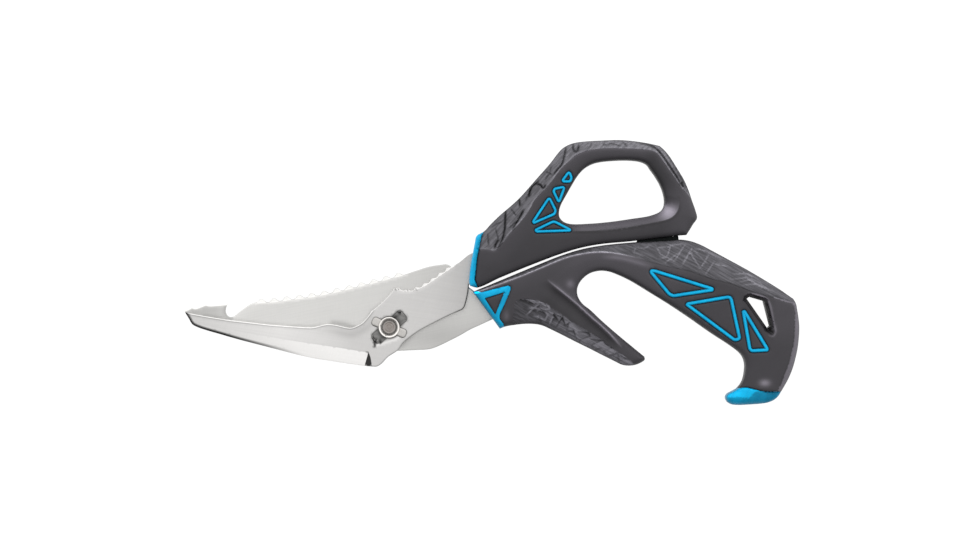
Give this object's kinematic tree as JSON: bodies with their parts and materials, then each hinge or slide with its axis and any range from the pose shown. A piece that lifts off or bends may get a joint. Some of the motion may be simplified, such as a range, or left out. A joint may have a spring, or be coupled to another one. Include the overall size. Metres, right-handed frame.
{
  "type": "poultry shears",
  "caption": "Take-apart poultry shears: two steel blades on a winged pivot stud, a thumb-loop handle above and a hooked finger-rest handle below, soft grips and blue trim.",
  "frame": {"origin": "middle of the bounding box in X and Y, on the table that the backs of the handles lie on (z = 0); the pivot axis is vertical at x -39.85 mm, y -21.334 mm, and the blades meet at z 9 mm", "axes": "+X from the blade tips towards the tail of the lower handle, +Y from the hook towards the thumb loop, +Z out of the front face, across the thickness"},
  "size_m": [0.2402, 0.1036, 0.018],
  "materials": {
    "blade_steel": "polished and finely ground stainless steel",
    "pivot_steel": "turned stainless steel",
    "handle_nylon": "satin glass-filled nylon",
    "soft_grip": "matte moulded elastomer with shard texture",
    "blue_trim": "satin coloured plastic",
    "stop_rubber": "matte black rubber"
  },
  "bodies": {
    "rear_half": {"rear_blade": "blade_steel", "pivot_stud": "pivot_steel", "pivot_back_washer": "pivot_steel", "lower_handle": "handle_nylon", "lower_top_grip": "soft_grip", "finger_guard_grip": "soft_grip", "lower_bolster": "blue_trim", "hook_cap": "blue_trim", "handle_stop_bumper": "stop_rubber", "lower_inlay_1_front": "blue_trim", "lower_inlay_1_back": "blue_trim", "lower_inlay_2_front": "blue_trim", "lower_inlay_2_back": "blue_trim", "lower_inlay_3_front": "blue_trim", "lower_inlay_3_back": "blue_trim"},
    "front_half": {"front_blade": "blade_steel", "upper_handle": "handle_nylon", "upper_grip": "soft_grip", "upper_bolster": "blue_trim", "upper_inlay_1_front": "blue_trim", "upper_inlay_1_back": "blue_trim", "upper_inlay_2_front": "blue_trim", "upper_inlay_2_back": "blue_trim", "upper_inlay_3_front": "blue_trim", "upper_inlay_3_back": "blue_trim", "upper_inlay_4_front": "blue_trim", "upper_inlay_4_back": "blue_trim"}
  },
  "joints": [
    {"name": "pivot", "type": "hinge", "parent": "rear_half", "child": "front_half", "pos_m": [-0.03985, -0.02133, 0.009], "axis": [0, 0, 1], "range_deg": [0, 115]}
  ]
}
